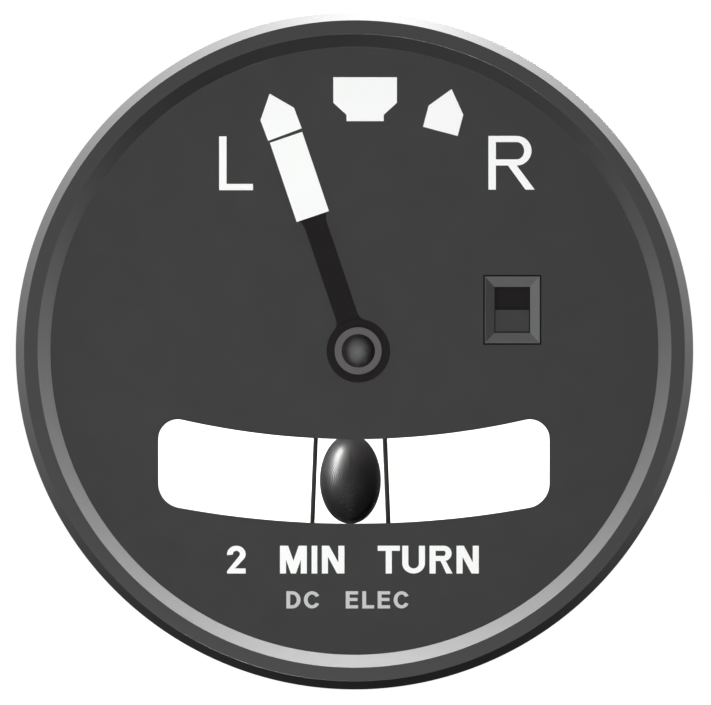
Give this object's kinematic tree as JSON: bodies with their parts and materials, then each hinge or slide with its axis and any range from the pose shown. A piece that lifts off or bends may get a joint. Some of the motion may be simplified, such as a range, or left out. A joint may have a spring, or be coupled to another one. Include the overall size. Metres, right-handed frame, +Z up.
{
  "type": "turn and bank indicator",
  "caption": "Round panel instrument with a rate-gyro turn pointer, a curved ball inclinometer, a warning flag and a rear power receptacle.",
  "frame": {"origin": "case axis in the plane of the bezel rear shoulder, which seats on the panel clamp", "axes": "+X to the viewer's right, +Y into the instrument along the case axis, +Z up; the dial faces -Y"},
  "size_m": [0.0792, 0.1285, 0.0792],
  "materials": {
    "bezel_enamel": "satin",
    "case_enamel": "satin",
    "dial_paint": "matte",
    "mark_paint": "matte",
    "gasket_rubber": "matte",
    "cover_glass": "polished",
    "tube_glass": "polished",
    "plated_steel": "satin",
    "pin_gold": "polished",
    "aluminium": "satin",
    "olive_plating": "satin",
    "insulator": "matte",
    "brass": "satin",
    "white_backing": "matte",
    "wire_black": "satin",
    "ball_black": "polished",
    "pointer_black": "satin",
    "pointer_white": "matte",
    "collar_grey": "satin",
    "cap_black": "satin",
    "frame_grey": "satin",
    "vane_grey": "matte",
    "copper_winding": "satin",
    "soft_iron": "satin",
    "bronze": "satin",
    "rotor_alloy": "satin",
    "carbon": "matte",
    "holder_plastic": "matte",
    "ferrite": "matte"
  },
  "bodies": {
    "instrument": {"bezel_ring": "bezel_enamel", "glass_gasket": "gasket_rubber", "cover_glass": "cover_glass", "dial_spacer_ring": "bezel_enamel", "dial_plate": "dial_paint", "dial_index_marks": "mark_paint", "flag_window_frame": "frame_grey", "case_shell": "case_enamel", "rear_cover": "case_enamel", "rear_cover_gasket": "gasket_rubber", "rear_cover_screws": "plated_steel", "cover_plugs": "brass", "receptacle_shell": "olive_plating", "receptacle_insert": "insulator", "receptacle_pins": "pin_gold", "receptacle_screws": "plated_steel", "front_plate": "aluminium", "rear_plate": "aluminium", "frame_pillars": "brass", "frame_screws": "plated_steel", "pointer_bridge": "aluminium", "bridge_posts": "brass", "staff_bushes": "bronze", "gimbal_bushes": "bronze", "inclinometer_tube": "tube_glass", "inclinometer_end_caps": "gasket_rubber", "inclinometer_backing": "white_backing", "reference_wires": "wire_black", "inclinometer_straps": "brass", "strap_studs": "brass", "damper_cylinder": "brass", "damper_bracket": "aluminium", "centering_spring": "plated_steel", "spring_anchor": "brass", "flag_bracket": "brass", "flag_coil": "copper_winding", "flag_core": "soft_iron"},
    "pointer": {"pointer_staff": "plated_steel", "pointer_pinion": "brass", "pointer_arm": "pointer_black", "pointer_tip": "pointer_white", "pointer_collar": "collar_grey", "pointer_cap": "cap_black", "pointer_counterweight": "brass"},
    "gimbal": {"gimbal_frame": "aluminium", "sector_gear": "brass", "bearing_outer_rings": "plated_steel", "field_magnet": "ferrite", "brush_holders": "holder_plastic", "brushes": "carbon", "damper_arm": "brass"},
    "rotor": {"rotor_flywheel": "rotor_alloy", "rotor_shaft": "plated_steel", "rotor_windings": "copper_winding", "commutator": "copper_winding", "bearing_inner_rings": "plated_steel"},
    "ball": {"inclinometer_ball": "ball_black"},
    "flag": {"flag_vane": "vane_grey", "flag_staff": "soft_iron"},
    "damper_piston": {"damper_piston": "plated_steel"}
  },
  "joints": [
    {"name": "gimbal_tilt", "type": "hinge", "parent": "instrument", "child": "gimbal", "pos_m": [0.00045, 0.052, -0.0108], "axis": [0, 1, 0], "range_deg": [-24.35, 5.65], "stiffness_Nm_per_rad": 0.03, "springref_deg": -9.35, "deforming": ["centering_spring"]},
    {"name": "rotor_spin", "type": "hinge", "parent": "gimbal", "child": "rotor", "pos_m": [0.00045, 0.052, -0.0108], "axis": [0.9867, 0, -0.1625], "continuous": true},
    {"name": "pointer_turn", "type": "hinge", "parent": "instrument", "child": "pointer", "pos_m": [0.00045, 0, 0], "axis": [0, 1, 0], "range_deg": [-11.35, 48.75]},
    {"name": "damper_slide", "type": "slide", "parent": "instrument", "child": "damper_piston", "axis": [1, 0, 0], "range_m": [-0.01096, 0.00256]},
    {"name": "ball_roll", "type": "hinge", "parent": "instrument", "child": "ball", "pos_m": [-0.00049, 0.002, 0.09009], "axis": [0, 1, 0], "range_deg": [-10.9, 10.9]},
    {"name": "flag_swing", "type": "hinge", "parent": "instrument", "child": "flag", "pos_m": [0.0286, 0, -0.001], "axis": [0, 1, 0], "range_deg": [0, 18]}
  ],
  "couplings": [
    {"joint": "pointer_turn", "follows": "gimbal_tilt", "ratio": -2},
    {"joint": "damper_slide", "follows": "gimbal_tilt", "m_per_rad": 0.02575}
  ]
}
